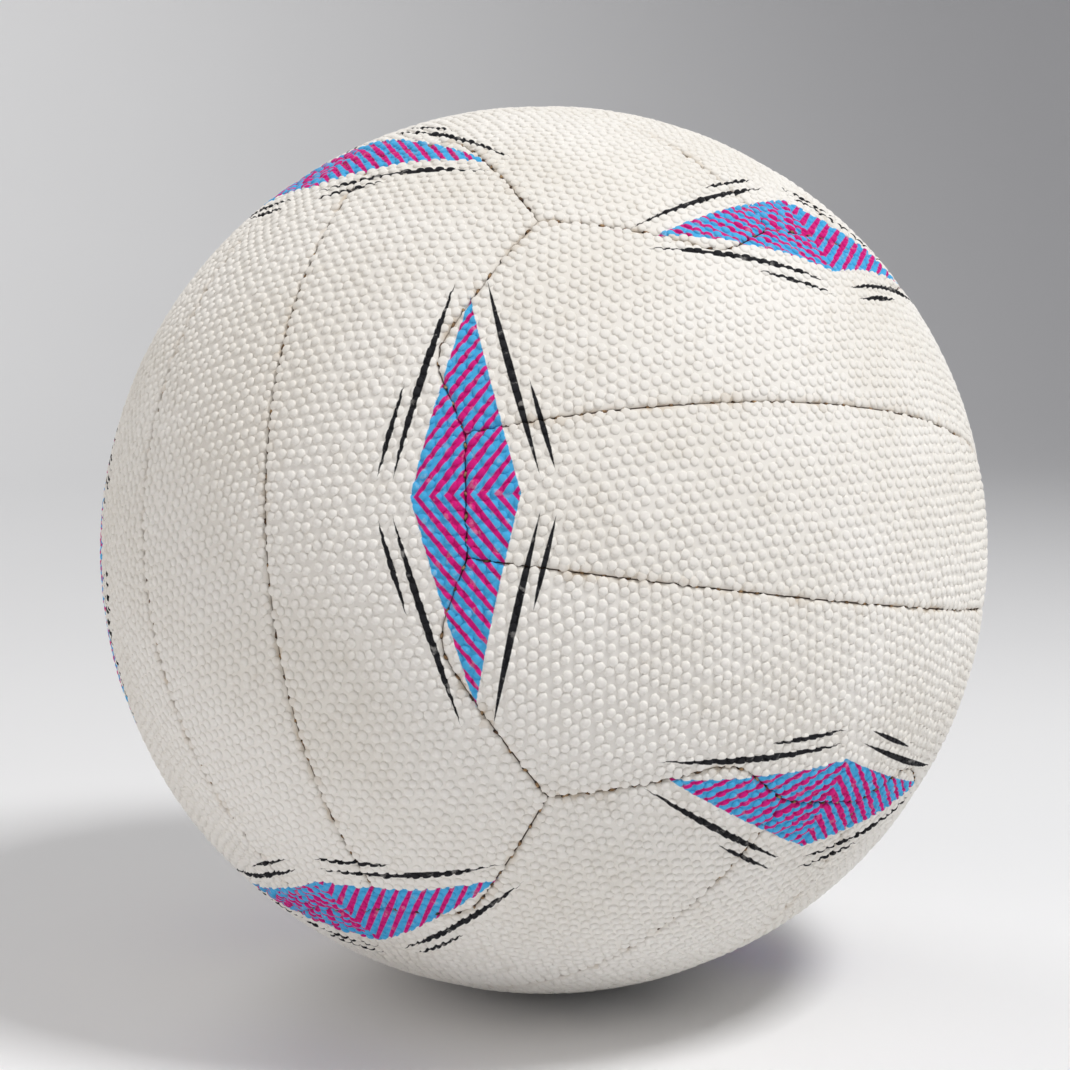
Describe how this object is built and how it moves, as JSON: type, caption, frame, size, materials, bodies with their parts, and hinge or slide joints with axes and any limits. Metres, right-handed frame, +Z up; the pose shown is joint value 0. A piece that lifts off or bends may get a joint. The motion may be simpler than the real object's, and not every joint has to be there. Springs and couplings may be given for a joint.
{
  "type": "netball",
  "caption": "Hand-sewn netball with a pimpled rubber cover of strip panels over cloth linings and an air bladder with a needle valve.",
  "frame": {"origin": "centre of the ball", "axes": "+Z up as the ball lies on the floor, +X to the right and +Y away from the viewer of the picture"},
  "size_m": [0.2228, 0.2228, 0.2228],
  "materials": {
    "face_rubber": "matt, pimpled",
    "lining_cloth": "plain weave",
    "sewing_thread": "waxed",
    "bladder_rubber": "smooth",
    "valve_rubber": "smooth"
  },
  "bodies": {
    "root": {"bladder": "bladder_rubber", "end_thread_bottom_a": "sewing_thread", "end_thread_bottom_b": "sewing_thread", "end_thread_left_back_a": "sewing_thread", "end_thread_left_back_b": "sewing_thread", "end_thread_left_front_a": "sewing_thread", "end_thread_left_front_b": "sewing_thread", "end_thread_right_back_a": "sewing_thread", "end_thread_right_back_b": "sewing_thread", "end_thread_right_front_a": "sewing_thread", "end_thread_right_front_b": "sewing_thread", "end_thread_top_a": "sewing_thread", "end_thread_top_b": "sewing_thread", "lining_bottom_middle": "lining_cloth", "lining_bottom_side_a": "lining_cloth", "lining_bottom_side_b": "lining_cloth", "lining_left_back_middle": "lining_cloth", "lining_left_back_side_a": "lining_cloth", "lining_left_back_side_b": "lining_cloth", "lining_left_front_middle": "lining_cloth", "lining_left_front_side_a": "lining_cloth", "lining_left_front_side_b": "lining_cloth", "lining_right_back_middle": "lining_cloth", "lining_right_back_side_a": "lining_cloth", "lining_right_back_side_b": "lining_cloth", "lining_right_front_middle": "lining_cloth", "lining_right_front_side_a": "lining_cloth", "lining_right_front_side_b": "lining_cloth", "lining_top_middle": "lining_cloth", "lining_top_side_a": "lining_cloth", "lining_top_side_b": "lining_cloth", "panel_bottom_middle": "face_rubber", "panel_bottom_side_a": "face_rubber", "panel_bottom_side_b": "face_rubber", "panel_left_back_middle": "face_rubber", "panel_left_back_side_a": "face_rubber", "panel_left_back_side_b": "face_rubber", "panel_left_front_middle": "face_rubber", "panel_left_front_side_a": "face_rubber", "panel_left_front_side_b": "face_rubber", "panel_right_back_middle": "face_rubber", "panel_right_back_side_a": "face_rubber", "panel_right_back_side_b": "face_rubber", "panel_right_front_middle": "face_rubber", "panel_right_front_side_a": "face_rubber", "panel_right_front_side_b": "face_rubber", "panel_top_middle": "face_rubber", "panel_top_side_a": "face_rubber", "panel_top_side_b": "face_rubber", "strip_threads_bottom": "sewing_thread", "strip_threads_left_back": "sewing_thread", "strip_threads_left_front": "sewing_thread", "strip_threads_right_back": "sewing_thread", "strip_threads_right_front": "sewing_thread", "strip_threads_top": "sewing_thread", "valve_core": "valve_rubber", "valve_housing": "valve_rubber"}
  },
  "joints": []
}
